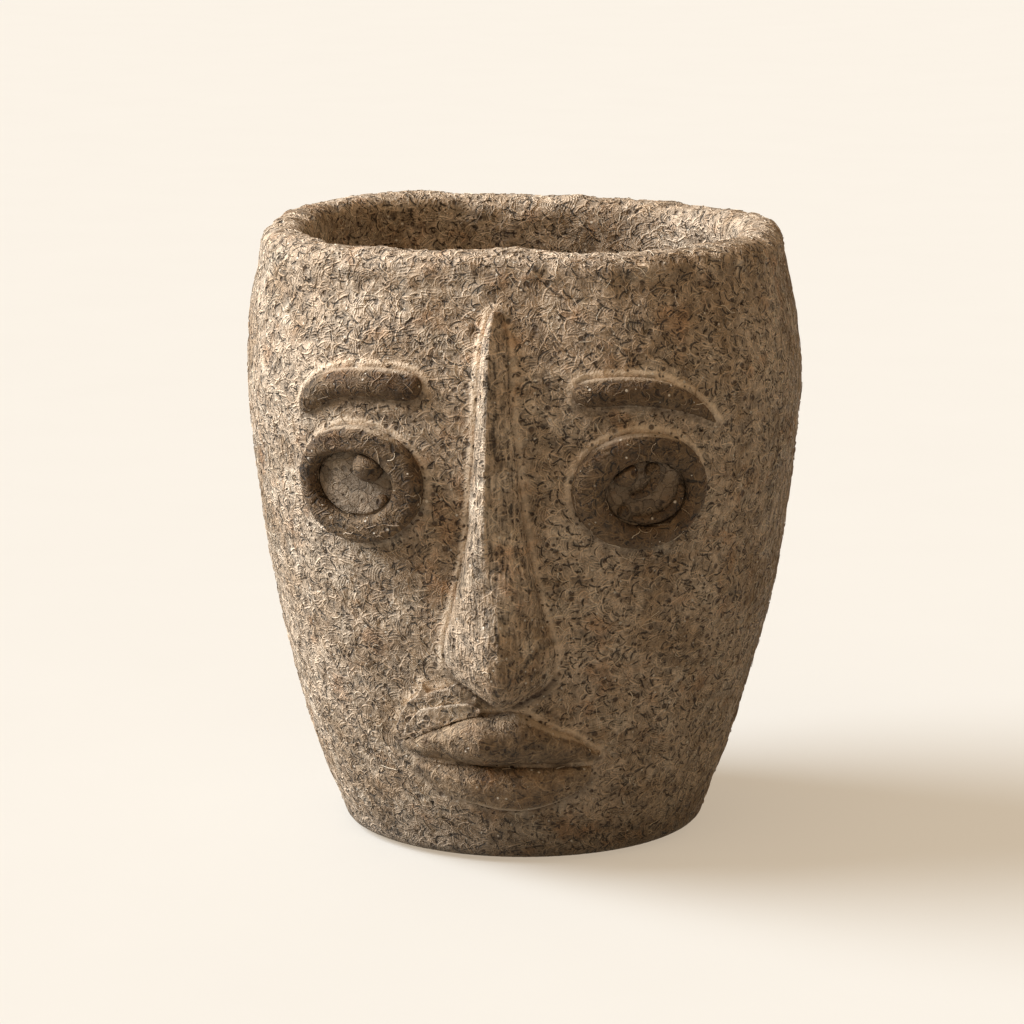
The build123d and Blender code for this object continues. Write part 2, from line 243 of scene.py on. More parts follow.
# Pores and white grit: cell, radius, share of the cells that hold one, and where the pattern lies
large_pores = (3.5, 0.85, 0.62, 3)
small_pores = (2.0, 0.45, 0.6, 29)
white_grit = (2.4, 0.45, 0.45, 41)
pore_depth, grit_height = 0.8, 0.2
chip_size, chip_shift = 4.2, 7

# Round each applied piece, by the distance from it: where the strands return, the wiped ridge with its painted
# highlight, and the painted shade at the joint
strands_from, strands_to = 0.8, 2.8
ridge_centre, ridge_width, ridge_height, ridge_highlight_paleness = 1.2, 0.9, 0.4, 0.62
# Painted shade at the joint below each piece: where it begins and ends, and how dark
joint_from, joint_to, joint_shade_darkness = 0.2, 2.0, 0.7

# Patches of the cement: colour, size, where the noise begins and ends to show it, how strongly, and where it lies
cement_colour = "#ccbaa4"
cement_patches = (
    ("#ab967d", 26, 0.42, 0.62, 1, 5),
    ("#e0d2be", 11, 0.5, 0.68, 0.7, 19),
    ("#b3a896", 15, 0.54, 0.7, 0.4, 43),
    ("#b3885f", 13, 0.55, 0.7, 0.45, 77),
    ("#8d7861", 6, 0.54, 0.72, 0.55, 91),
)
# Painted highlight on the wiped ridge, painted shade at the joint and in the pores, and the mix's own white grit
wiped_and_highlight_colour, joint_shade_colour, grit_colour, pore_shade_colour = "#eadcc6", "#4a3a2b", "#f4ecdd", "#3a2615"


def empty_material(name):
    """New material and its node tree, with nothing in it yet."""
    material = bpy.data.materials.new(name)
    material.use_nodes = True
    material.node_tree.nodes.clear()
    return material, material.node_tree


def place_in_mm(tree):
    """Place on the object in millimetres."""
    place = add_node(tree, "ShaderNodeTexCoord", out="Object")
    return add_node(tree, VECTOR, place, (1 / MM, 1 / MM, 1 / MM), operation="MULTIPLY")


def grain_at(tree, place, grain, detail, shift=0):
    """Cloudy variation whose patches have a real size."""
    moved = add_node(tree, VECTOR, place, (shift, shift, shift), operation="ADD")
    settings = {"Scale": 1 / grain, "Detail": detail, "Roughness": 0.6}
    return add_node(tree, "ShaderNodeTexNoise", moved, named=settings, out="Fac")


def cells_at(tree, place, cell, shift):
    """Random cells over the surface: the way from each cell's centre, the distance, and the cell's random colour."""
    moved = add_node(tree, VECTOR, place, (shift, shift * 0.7, -shift), operation="ADD")
    distance = add_node(tree, "ShaderNodeTexVoronoi", moved, named={"Scale": 1 / cell}, out="Distance")
    cells = distance.node.outputs
    away = add_node(tree, VECTOR, moved, cells["Position"], operation="SUBTRACT")
    return away, add_node(tree, MATH, distance, cell, operation="MULTIPLY"), cells["Color"]


def strands_at(tree, place, normal, cell, half_length, half_width, shift, bow=1.3):
    """Height from 0 to 1 of curved strands in the surface, one to a cell, their random numbers and the way across."""
    away, _, colour = cells_at(tree, place, cell, shift)
    spin = add_node(tree, VECTOR, colour, (0.5, 0.5, 0.5), operation="SUBTRACT")
    lengthwise = add_node(tree, VECTOR, normal, spin, operation="CROSS_PRODUCT")
    lengthwise = add_node(tree, VECTOR, lengthwise, operation="NORMALIZE")
    crosswise = add_node(tree, VECTOR, normal, lengthwise, operation="CROSS_PRODUCT")
    along = add_node(tree, VECTOR, away, lengthwise, operation="DOT_PRODUCT", out="Value")
    across = add_node(tree, VECTOR, away, crosswise, operation="DOT_PRODUCT", out="Value")
    own = add_node(tree, "ShaderNodeSeparateColor", colour)
    bend = add_node(tree, MATH, own, 0.5, operation="SUBTRACT")
    bend = add_node(tree, MATH, bend, bow / half_length, operation="MULTIPLY")
    square = add_node(tree, MATH, along, along, operation="MULTIPLY")
    across = add_node(tree, MATH, square, bend, across, operation="MULTIPLY_ADD")
    side = add_node(tree, MATH, across, half_width, operation="DIVIDE")
    side = add_node(tree, MATH, side, side, operation="MULTIPLY")
    side = add_node(tree, MATH, side, -1, 1, operation="MULTIPLY_ADD")
    end = add_node(tree, MATH, along, half_length, operation="DIVIDE")
    end = add_node(tree, MATH, end, 4, operation="POWER")
    end = add_node(tree, MATH, end, -1, 1, operation="MULTIPLY_ADD")
    side = add_node(tree, MATH, side, 0, operation="MAXIMUM")
    end = add_node(tree, MATH, end, 0, operation="MAXIMUM")
    return add_node(tree, MATH, side, end, operation="MULTIPLY"), own.node.outputs["Green"], across


def pores_at(tree, place, cell, radius, kept, shift):
    """Round marks of random size, 1 inside and 0 outside, in a share of the cells."""
    _, distance, colour = cells_at(tree, place, cell, shift)
    own = add_node(tree, "ShaderNodeSeparateColor", colour)
    reach = add_node(tree, MATH, own.node.outputs["Green"], radius, radius * 0.4, operation="MULTIPLY_ADD")
    inside = add_node(tree, STEP, add_node(tree, MATH, distance, reach, operation="DIVIDE"), 1.0, 0.55)
    chosen = add_node(tree, MATH, own, kept, operation="LESS_THAN")
    return add_node(tree, MATH, inside, chosen, operation="MULTIPLY")


def mix_colours(tree):
    """Colours of the cement itself: drab earth with paler, rustier and greyer patches."""
    place = place_in_mm(tree)
    colour = linear(cement_colour)
    for patch, grain, low, high, share, shift in cement_patches:
        cloud = grain_at(tree, place, grain, 4, shift)
        cloud = add_node(tree, STEP, cloud, low, high, named={"To Max": share}, interpolation_type="SMOOTHSTEP")
        colour = add_node(tree, MIX, data_type="RGBA", out=2, named={0: cloud, 6: colour, 7: linear(patch)})
    return colour


def finish_mix(tree, colour, height, reach):
    """Dull mineral surface with its relief: reach says how many millimetres a height of 1 stands for."""
    bump = add_node(tree, "ShaderNodeBump", named={"Height": height, "Strength": 1, "Distance": reach * MM})
    shader = add_node(
        tree,
        "ShaderNodeBsdfPrincipled",
        named={"Base Color": colour, "Roughness": 0.72, "Specular IOR Level": 0.45, "Normal": bump},
    )
    add_node(tree, "ShaderNodeOutputMaterial", shader)


def ridge_highlight_and_joint_shade(tree):
    """Round the applied pieces: share of strands, ridge left by the wet mix with its painted highlight, and painted
    shade at the joint below it.
    """
    edge = add_node(tree, "ShaderNodeAttribute", attribute_name="edge", out="Fac")
    clear = add_node(tree, STEP, edge, strands_from, strands_to, interpolation_type="SMOOTHSTEP")
    ridge = add_node(tree, MATH, edge, ridge_centre, operation="SUBTRACT")
    ridge = add_node(tree, MATH, ridge, ridge_width, operation="DIVIDE")
    fall = add_node(tree, MATH, ridge, -1, operation="MULTIPLY")
    ridge = add_node(tree, MATH, ridge, fall, operation="MULTIPLY")
    ridge = add_node(tree, MATH, ridge, operation="EXPONENT")
    band = add_node(tree, "ShaderNodeAttribute", attribute_name="band", out="Fac")
    ridge = add_node(tree, MATH, ridge, band, operation="MULTIPLY")
    joint_shade = add_node(tree, STEP, edge, joint_from, joint_to, joint_shade_darkness, 0, interpolation_type="SMOOTHSTEP")
    # Painted shade falls only below a piece, as the wall's under attribute says
    under = add_node(tree, "ShaderNodeAttribute", attribute_name="under", out="Fac")
    return clear, ridge, add_node(tree, MATH, joint_shade, under, operation="MULTIPLY")


def stone_mix_material(name, tint, strands, pores, grooves, streaks):
    """Cement, sand and plant fibre pressed by hand: dull, earthy, with strands, pores and white grit."""
    material, tree = empty_material(name)
    place = place_in_mm(tree)
    normal = add_node(tree, "ShaderNodeNewGeometry", out="Normal")
    # Sand, soft unevenness and the upright drag marks of the fingers
    ground = 0
    drawn = add_node(tree, VECTOR, place, (1, 1, 0.13), operation="MULTIPLY")
    for where, grain, detail, shift, rise in (
        (place, 0.75, 3, 13, 0.5), (place, 3.2, 3, 57, 0.9), (drawn, 1.2, 2, 67, 1.1 * streaks)
    ):
        cloud = add_node(tree, MATH, grain_at(tree, where, grain, detail, shift), 0.5, operation="SUBTRACT")
        ground = add_node(tree, MATH, cloud, rise, ground, operation="MULTIPLY_ADD")

    height = 0
    for cell, half_length, half_width, shift, rise in raised_strands:
        strand, own, _ = strands_at(tree, place, normal, cell, half_length, half_width, shift)
        own = add_node(tree, MATH, own, raised_share, operation="LESS_THAN")
        own = add_node(tree, MATH, own, rise * strands, operation="MULTIPLY")
        strand = add_node(tree, MATH, strand, own, operation="MULTIPLY")
        height = add_node(tree, MATH, strand, height, operation="MAXIMUM")
    for cell, half_length, half_width, shift, depth in pressed_grooves:
        groove, own, _ = strands_at(tree, place, normal, cell, half_length, half_width, shift)
        own = add_node(tree, MATH, own, groove_share, operation="LESS_THAN")
        groove = add_node(tree, MATH, groove, own, operation="MULTIPLY")
        height = add_node(tree, MATH, groove, -depth * grooves, height, operation="MULTIPLY_ADD")
    # Brushed patches, where many fine strands lie side by side
    cell, half_length, half_width, shift = brushed_patches
    patch, _, across = strands_at(tree, place, normal, cell, half_length, half_width, shift)
    lines = add_node(tree, MATH, across, TURN / brushed_pitch, operation="MULTIPLY")
    lines = add_node(tree, MATH, add_node(tree, MATH, lines, operation="SINE"), patch, operation="MULTIPLY")
    height = add_node(tree, MATH, lines, brushed_height * grooves, height, operation="MULTIPLY_ADD")

    clear, ridge, joint_shade = ridge_highlight_and_joint_shade(tree)
    height = add_node(tree, MATH, height, clear, ground, operation="MULTIPLY_ADD")
    relief = add_node(tree, MATH, ridge, ridge_height, height, operation="MULTIPLY_ADD")

    cell, half_length, half_width, shift = slits
    pore, own, _ = strands_at(tree, place, normal, cell, half_length, half_width, shift)
    own = add_node(tree, MATH, own, slit_share * pores, operation="LESS_THAN")
    pore = add_node(tree, MATH, pore, own, operation="MULTIPLY")
    for cell, radius, share, shift in (large_pores, small_pores):
        pore = add_node(
            tree, MATH, pore, pores_at(tree, place, cell, radius, share * pores, shift), operation="MAXIMUM"
        )
    speck = pores_at(tree, place, *white_grit)
    height = add_node(tree, MATH, pore, -pore_depth, relief, operation="MULTIPLY_ADD")
    height = add_node(tree, MATH, speck, grit_height, height, operation="MULTIPLY_ADD")

    # Raised strands are painted pale as painted highlight and hollows dark as painted shade, and the colour is darker
    # towards the bottom
    shade = add_node(tree, STEP, relief, -0.26, 0.29, named={"To Min": 0.17, "To Max": 1.6})
    level = add_node(tree, "ShaderNodeSeparateXYZ", place, out="Z")
    foot = add_node(
        tree, STEP, level, 1, 22, named={"To Min": 0.6, "To Max": 1}, interpolation_type="SMOOTHSTEP"
    )
    shade = add_node(tree, MATH, shade, foot, operation="MULTIPLY")
    colour = add_node(tree, VECTOR, mix_colours(tree), named={"Scale": shade}, operation="SCALE")
    colour = add_node(tree, VECTOR, colour, linear(tint)[:3], operation="MULTIPLY")
    # Painted highlight: the ridge is mixed paler
    pale = add_node(tree, MATH, ridge, ridge_highlight_paleness, operation="MULTIPLY")
    # Painted shade in the pores
    dark = add_node(tree, MATH, pore, 0.8, operation="MULTIPLY")
    # Mixed in: painted highlight, painted shade at the joint, the mix's own white grit and painted shade in the pores
    for share, over in ((pale, wiped_and_highlight_colour), (joint_shade, joint_shade_colour), (speck, grit_colour), (dark, pore_shade_colour)):
        colour = add_node(tree, MIX, data_type="RGBA", out=2, named={0: share, 6: colour, 7: linear(over)})
    # Relief drawn a third deeper than measured, so that it shows at the size of a picture
    finish_mix(tree, colour, height, 1.35)
    return material


def chipped_mix_material(name, tint):
    """The same mix pressed as broken chips: flat flakes at odd heights, painted paler the higher they stand, with the
    gaps and pits between them painted dark as painted shade.
    """
    material, tree = empty_material(name)
    place = place_in_mm(tree)
    sand = grain_at(tree, place, 0.75, 3, 13)
    wander = add_node(tree, "ShaderNodeTexNoise", place, named={"Scale": 0.3}, out="Color")
    wander = add_node(tree, VECTOR, wander, (3, 3, 3), operation="MULTIPLY")
    bent = add_node(tree, VECTOR, place, wander, operation="ADD")
    _, _, colour = cells_at(tree, bent, chip_size, chip_shift)
    flake = add_node(tree, "ShaderNodeSeparateColor", colour)
    height = add_node(tree, MATH, flake, 1.1, sand, operation="MULTIPLY_ADD")
    moved = add_node(tree, VECTOR, bent, (chip_shift, chip_shift * 0.7, -chip_shift), operation="ADD")
    gap = add_node(tree, "ShaderNodeTexVoronoi", moved, named={"Scale": 1 / chip_size}, feature="DISTANCE_TO_EDGE")
    gap = add_node(tree, STEP, gap, 0.0, 0.05, named={"To Min": -0.25, "To Max": 0.1})
    height = add_node(tree, MATH, height, gap, operation="ADD")
    pore = pores_at(tree, place, 3.1, 0.9, 0.7, 3)
    height = add_node(tree, MATH, pore, -0.8, height, operation="MULTIPLY_ADD")
    # Painted highlight and painted shade: higher flakes paler, gaps and pits darker
    shade = add_node(tree, STEP, height, -0.2, 1.6, named={"To Min": 0.22 * tint, "To Max": 1.35 * tint})
    colour = add_node(tree, VECTOR, mix_colours(tree), named={"Scale": shade}, operation="SCALE")
    finish_mix(tree, colour, height, 1)
    return material


def fibre_material(name):
    """Dry plant fibre coated with the mix: a little paler than the mix, and each strand its own tone."""
    material, tree = empty_material(name)
    place = place_in_mm(tree)
    sand = grain_at(tree, place, 0.8, 3, 13)
    colour = mix_colours(tree)
    tone = add_node(tree, "ShaderNodeAttribute", attribute_name="fibre_tone", out="Fac")
    shade = add_node(tree, STEP, tone, 0, 1, named={"To Min": 0.65, "To Max": 1.75})
    shade = add_node(tree, MATH, sand, shade, operation="MULTIPLY_ADD")
    shade = add_node(tree, MATH, shade, 0.85, operation="MULTIPLY")
    colour = add_node(tree, VECTOR, colour, named={"Scale": shade}, operation="SCALE")
    pale = add_node(tree, MATH, tone, 0.88, operation="GREATER_THAN")
    colour = add_node(tree, MIX, data_type="RGBA", out=2, named={0: pale, 6: colour, 7: linear("#eee2cd")})
    finish_mix(tree, colour, sand, 0.25)
    return material


def rubber_material(name, hex_colour):
    """Moulded rubber: dark, soft sheen, with a fine matt grain and a little dust."""
    material, tree = empty_material(name)
    place = place_in_mm(tree)
    grain = grain_at(tree, place, 0.5, 3)
    dust = add_node(tree, STEP, grain_at(tree, place, 6, 4, 9), 0.5, 0.75, named={"To Max": 0.25})
    colour = add_node(
        tree, MIX, data_type="RGBA", out=2, named={0: dust, 6: linear(hex_colour), 7: linear("#6f6252")}
    )
    roughness = add_node(tree, MATH, grain, 0.2, 0.5, operation="MULTIPLY_ADD")
    bump = add_node(tree, "ShaderNodeBump", named={"Height": grain, "Strength": 0.5, "Distance": 0.1 * MM})
    shader = add_node(
        tree, "ShaderNodeBsdfPrincipled", named={"Base Color": colour, "Roughness": roughness, "Normal": bump}
    )
    add_node(tree, "ShaderNodeOutputMaterial", shader)
    return material


stone_mix = stone_mix_material("pressed_stone_and_fibre_mix", "#ffffff", 1, 1, 1, 0.25)
rolled_mix = stone_mix_material("hand_rolled_stone_mix", "#9a8e7d", 0.9, 0.6, 0.8, 0)
drawn_mix = stone_mix_material("finger_drawn_stone_mix", "#ffffff", 0.6, 0.6, 0.5, 0.9)
smoothed_mix = stone_mix_material("thumb_smoothed_stone_mix", "#c6beb2", 0.5, 0.35, 0.5, 0.25)
# Painted shade: the eye discs are darkened all over as if shaded by their rings
chipped_mix = chipped_mix_material("chipped_stone_mix", 0.62)
fibre_mix = fibre_material("plant_fibre_in_mix")
plug_rubber = rubber_material("moulded_plug_rubber", "#2b2825")
pad_rubber = rubber_material("moulded_pad_rubber", "#3a3531")


# Applied pieces: mesh step, rounds of softening, roughness, how far it stands out more, share under strands, and
# its mix
applied_pieces = {
    "nose": (0.7, 4, 0.7, 0.3, 0.4, drawn_mix),
    "left_brow": (0.5, 3, 0.6, 0.5, 0.35, rolled_mix),
    "right_brow": (0.5, 3, 0.6, 0.5, 0.35, rolled_mix),
    "left_eye_ring": (0.5, 6, 0.6, 0.5, 0.35, rolled_mix),
    "right_eye_ring": (0.5, 6, 0.6, 0.5, 0.35, rolled_mix),
    "left_eye_disc": (0.4, 2, 0.6, -0.7, 0.35, chipped_mix),
    "right_eye_disc": (0.4, 2, 0.6, -0.7, 0.35, chipped_mix),
    "left_pupil": (0.2, 1, 0.15, 0.2, 0, rolled_mix),
    "right_pupil": (0.2, 1, 0.15, 0.2, 0, rolled_mix),
    "left_lump": (0.25, 2, 0.3, 0, 0, rolled_mix),
    "right_lump": (0.25, 2, 0.3, 0, 0, rolled_mix),
    "right_eye_curl": (0.25, 2, 0.3, 0, 0, rolled_mix),
    "right_eye_coil": (0.25, 2, 0.3, 0, 0, rolled_mix),
    "upper_lip": (0.5, 3, 0.5, 0.6, 0.1, smoothed_mix),
    "lower_lip": (0.5, 3, 0.5, 1.6, 0.1, smoothed_mix),
    "lip_ledge": (0.3, 2, 0.9, 0.3, 0.4, stone_mix),
    "lip_ledge_fold": (0.3, 2, 0.9, 0.3, 0.4, stone_mix),
}
bead_growth = 0.45 * MM
unwiped_edge = 5
pot_tree = tree_of("pot_body")


def lumps_of(places, sizes):
    """Unevenness of several sizes together, in millimetres, from rows of lump size, height and seed."""
    return sum(height * noise_at(places, size * MM, seed) for size, height, seed in sizes)


def wall_lumps(places):
    """How far the hand-pressed wall stands in or out at each place, in metres."""
    lumps = lumps_of(places, wall_lump_sizes)
    for side, levels, depths in drawn_in_sides:
        drawn_in = np.interp(places[:, 2] / MM, levels, depths)
        lumps -= drawn_in * smooth_step(drawn_in_from, drawn_in_to, side * places[:, 0])
    return lumps * MM


def column_angles():
    """Angles of the wall grid's columns round the pot, closer together on the face side."""
    front = np.linspace(-front_half_angle, front_half_angle, front_columns, endpoint=False)
    back = np.linspace(front_half_angle, TURN - front_half_angle, back_columns, endpoint=False)
    return np.concatenate([front, back]) - math.pi / 2


def wall_section(angle):
    """Points of the pot's own surface in one upright half plane, from the drain hole round and back to it."""
    outward = Vector((math.cos(angle), math.sin(angle), 0))

    def hit(radius, height, direction):
        start = outward * radius + Vector((0, 0, height))
        return pot_tree.ray_cast(start, direction)[0]

    points = []
    base_reach = hit(outside_reach, base_height + 0.02 * MM, -outward).dot(outward)
    hole_edge = drain_radius + drain_edge
    for share in base_shares:
        radius = hole_edge + share * (base_reach - hole_edge)
        points.append(outward * radius + Vector((0, 0, base_height)))
    for step in range(1, base_round_steps):
        height = base_height + base_round * (1 - math.cos(step / base_round_steps * math.pi / 2))
        points.append(hit(outside_reach, height, -outward))
    for height in np.linspace(base_height + base_round, rim_centre_height, outer_rows):
        points.append(hit(outside_reach, height, -outward))
    outer = points[-1].dot(outward)
    inner = hit(0, rim_centre_height, outward).dot(outward)
    middle = (outer + inner) / 2
    for step in range(1, rim_rows + 1):
        lift = math.pi * step / (rim_rows + 1)
        points.append(hit(middle, rim_centre_height, outward * math.cos(lift) + Vector((0, 0, math.sin(lift)))))
    for share in np.linspace(0, 1, inner_rows) ** inner_spread:
        height = rim_centre_height + share * (inner_foot_height - rim_centre_height)
        points.append(hit(0, height, outward))
    foot = points[-1].dot(outward)
    for share in inner_floor_shares:
        points.append(hit(share * foot, inner_foot_height + 10 * MM, Vector((0, 0, -1))))
    points.append(outward * drain_radius + Vector((0, 0, floor_height)))
    points.append(outward * drain_radius + Vector((0, 0, (floor_height + base_height) / 2)))
    points.append(outward * drain_radius + Vector((0, 0, base_height + drain_edge)))
    return points


def grid_normals(places):
    """Normals of a grid that closes on itself both ways."""
    along = np.roll(places, -1, 0) - np.roll(places, 1, 0)
    up = np.roll(places, -1, 1) - np.roll(places, 1, 1)
    values = np.cross(along, up)
    return values / np.maximum(np.linalg.norm(values, axis=2, keepdims=True), 1e-12)


def grid_mesh(name, places):
    """Closed mesh over a grid that closes on itself both ways."""
    columns, rows = places.shape[:2]
    index = np.arange(columns * rows).reshape(columns, rows)
    right = np.roll(index, -1, 0)
    faces = np.stack([index, right, np.roll(right, -1, 1), np.roll(index, -1, 1)], -1).reshape(-1, 4)
    mesh = bpy.data.meshes.new(name)
    mesh.from_pydata(places.reshape(-1, 3).tolist(), [], faces.tolist())
    mesh.update()
    shade_smooth(mesh)
    return mesh


def rim_waves(places):
    """Lift of the uneven rim round the pot, in metres."""
    angle = np.degrees(np.arctan2(places[:, 1], places[:, 0]))
    low = np.interp(angle, [a for a, _ in rim_lifts], [lift for _, lift in rim_lifts])
    flat = places * [1, 1, 0.25]
    return (low + lumps_of(flat, rim_lump_sizes)) * MM


def swell_at_pieces(places):
    """How far the wall is drawn up to the applied pieces, how near they are, how pale the ridge's painted highlight
    and how dark the joint's painted shade are.
    """
    lift, band, under = (np.zeros(len(places)) for _ in range(3))
    nearest = np.full(len(places), far_from_pieces)
    for nodes, height, reach, top, side, below, dark, stretch in drawn_up_joints:
        search = tree_of(*nodes)
        for row in np.nonzero(places[:, 1] < face_side)[0]:
            point, _, _, distance = search.find_nearest(places[row], far_from_pieces)
            if distance is None:
                continue
            lift[row] = max(lift[row], height * math.exp(-((distance / reach) ** 2)))
            if distance < nearest[row]:
                span = max(distance, 0.05 * MM)
                rise = (places[row][2] - point.z) / span
                # The piece hides the wall close below it, so the shade there reaches further down
                nearest[row] = distance / (1 + (stretch - 1) * smooth_step(0, -0.6, rise))
                # Painted highlight: the ridge is paler on top of each piece and on its side towards the lamp on the
                # left
                leftward = 0.5 + 0.5 * (point.x - places[row][0]) / span
                flat_share = side * (0.45 + 0.55 * leftward)
                change = top - flat_share if rise > 0 else flat_share - below
                band[row] = flat_share + change * rise
                # Painted shade on the wall below each piece
                under[row] = dark * smooth_step(0.1, -0.8, rise)
    # Floor of the mouth's parting
    lips = [tree_of("upper_lip"), tree_of("lower_lip")]
    for row in np.nonzero((nearest < 2 * MM) & (places[:, 2] < mouth_top))[0]:
        gaps = [lip.find_nearest(places[row])[3] / parting_reach for lip in lips]
        lift[row] += parting_lift * math.exp(-(gaps[0] ** 2) - gaps[1] ** 2)
    return lift, nearest, band, under


def build_pot_wall():
    """Vessel of pressed mix: the CAD wall with its lumps, waves, pores and the swell round each applied piece."""
    places = np.array([[list(point) for point in wall_section(angle)] for angle in column_angles()])
    columns, rows = places.shape[:2]
    outward = grid_normals(places)
    flat = places.reshape(-1, 3)
    facing = outward.reshape(-1, 3)
    radius = np.hypot(flat[:, 0], flat[:, 1])
    # Flats that the stopper sits on and the pads are under stay as they are
    free = smooth_step(pads_from, pads_to, flat[:, 2] - base_height) * smooth_step(plug_from, plug_to, radius)
    fine = lumps_of(flat, fine_lump_sizes) * MM
    swell, nearest, band, under = swell_at_pieces(flat)
    near_piece = smooth_step(0.6 * MM, 1.6 * MM, nearest)
    rough_rim = 1 + rim_roughness * smooth_step(rough_from, rough_to, flat[:, 2])
    height = free * (wall_lumps(flat) + fine * rough_rim * (0.3 + 0.7 * near_piece)) + swell
    chance = np.random.default_rng(7)
    pits = (chance.random(len(flat)) < pit_share) * free * near_piece
    height -= pits * pit_depth
    moved = flat + facing * height[:, None]
    upper = flat[:, 2] > waves_over
    moved[upper, 2] += rim_waves(flat[upper]) * smooth_step(waves_from, waves_to, flat[upper, 2])
    mesh = grid_mesh("pot_wall", moved.reshape(columns, rows, 3))
    put_attribute(mesh, "edge", nearest / MM)
    put_attribute(mesh, "band", band)
    put_attribute(mesh, "under", under)
    outside = smooth_step(-0.2, 0.2, (facing[:, :2] * flat[:, :2]).sum(1) / np.maximum(radius, 1e-6))
    top = smooth_step(186 * MM, 194 * MM, flat[:, 2])
    low = smooth_step(3 * MM, 9 * MM, flat[:, 2])
    shell = np.maximum(outside, top) * low * smooth_step(1.0 * MM, 2.0 * MM, nearest)
    left, front = flat[:, 0] < 0, flat[:, 1] < 0
    for side, chosen in (("left", left), ("right", ~left)):
        put_attribute(mesh, f"cover_front_{side}", shell * (chosen & front))
        put_attribute(mesh, f"cover_back_{side}", shell * (chosen & ~front))
    inside = (1 - np.maximum(outside, top)) * smooth_step(30 * MM, 120 * MM, flat[:, 2])
    put_attribute(mesh, "cover_inside", 0.35 * inside)
    return new_object("pot_wall", mesh)


def remeshed(name, node, voxel, rounds):
    """Even mesh over a CAD node, softened as damp mix is under a thumb."""
    obj = new_object(name, merged_mesh(node))
    remesh = obj.modifiers.new("even", "REMESH")
    remesh.mode = "VOXEL"
    remesh.voxel_size = voxel
    soften = obj.modifiers.new("soften", "SMOOTH")
    soften.factor = 0.5
    soften.iterations = rounds
    evaluated = obj.evaluated_get(bpy.context.evaluated_depsgraph_get())
    mesh = bpy.data.meshes.new_from_object(evaluated)
    obj.modifiers.clear()
    obj.data = mesh
    shade_smooth(mesh)
    return obj


# Fullness of hand-formed pieces: the axis they are sliced along, if any, the axis across, the heights between which
# it fades in, and how many times fuller they are by their share from one edge to the other
LEFT_RIGHT, UPRIGHT = 0, 2
slice_width = 2 * MM
fuller = {
    "nose": (
        (
            UPRIGHT, LEFT_RIGHT, 100, 120,
            ((-1, 1), (-0.8, 0.98), (-0.5, 1.14), (-0.28, 1.18), (0, 0.95), (0.4, 0.76), (0.8, 0.62), (1, 0.7)),
        ),
        (
            UPRIGHT, LEFT_RIGHT, 100, 80,
            ((-1, 0.7), (-0.75, 0.62), (-0.45, 0.8), (-0.1, 1.1), (0.1, 1.14), (0.4, 0.88), (0.75, 0.64), (1, 0.7)),
        ),
    ),
    "upper_lip": (
        (LEFT_RIGHT, UPRIGHT, -1, 0, ((-1, 0.9), (-0.5, 0.95), (0, 1.1), (0.5, 1.3), (0.85, 1.4), (1, 1))),
        (None, LEFT_RIGHT, -1, 0, ((-1, 0.8), (-0.5, 0.9), (-0.14, 1.34), (0.12, 1.0), (0.45, 0.8), (1, 0.75))),
    ),
    "lower_lip": (
        (LEFT_RIGHT, UPRIGHT, -1, 0, ((-1, 1.2), (-0.85, 1.6), (-0.5, 1.35), (0, 1.15), (0.6, 1.05), (1, 1))),
    ),
}


def filled_out(foot, wall_normal, rise, along, across, from_height, to_height, gains):
    """Moves that make a piece fuller by its share from edge to edge, from one height to another or all over."""
    share = np.zeros(len(foot))
    slices = np.zeros(len(foot)) if along is None else np.round(foot[:, along] / slice_width)
    for step in np.unique(slices):
        rows = np.nonzero(slices == step)[0]
        low, high = foot[rows, across].min(), foot[rows, across].max()
        share[rows] = (2 * foot[rows, across] - low - high) / max(high - low, 1 * MM)
    gain = np.interp(share, *zip(*gains))
    holds = smooth_step(0.3 * MM, 1.5 * MM, rise) * smooth_step(from_height * MM, to_height * MM, foot[:, 2])
    return wall_normal * (rise * (gain - 1) * holds)[:, None]


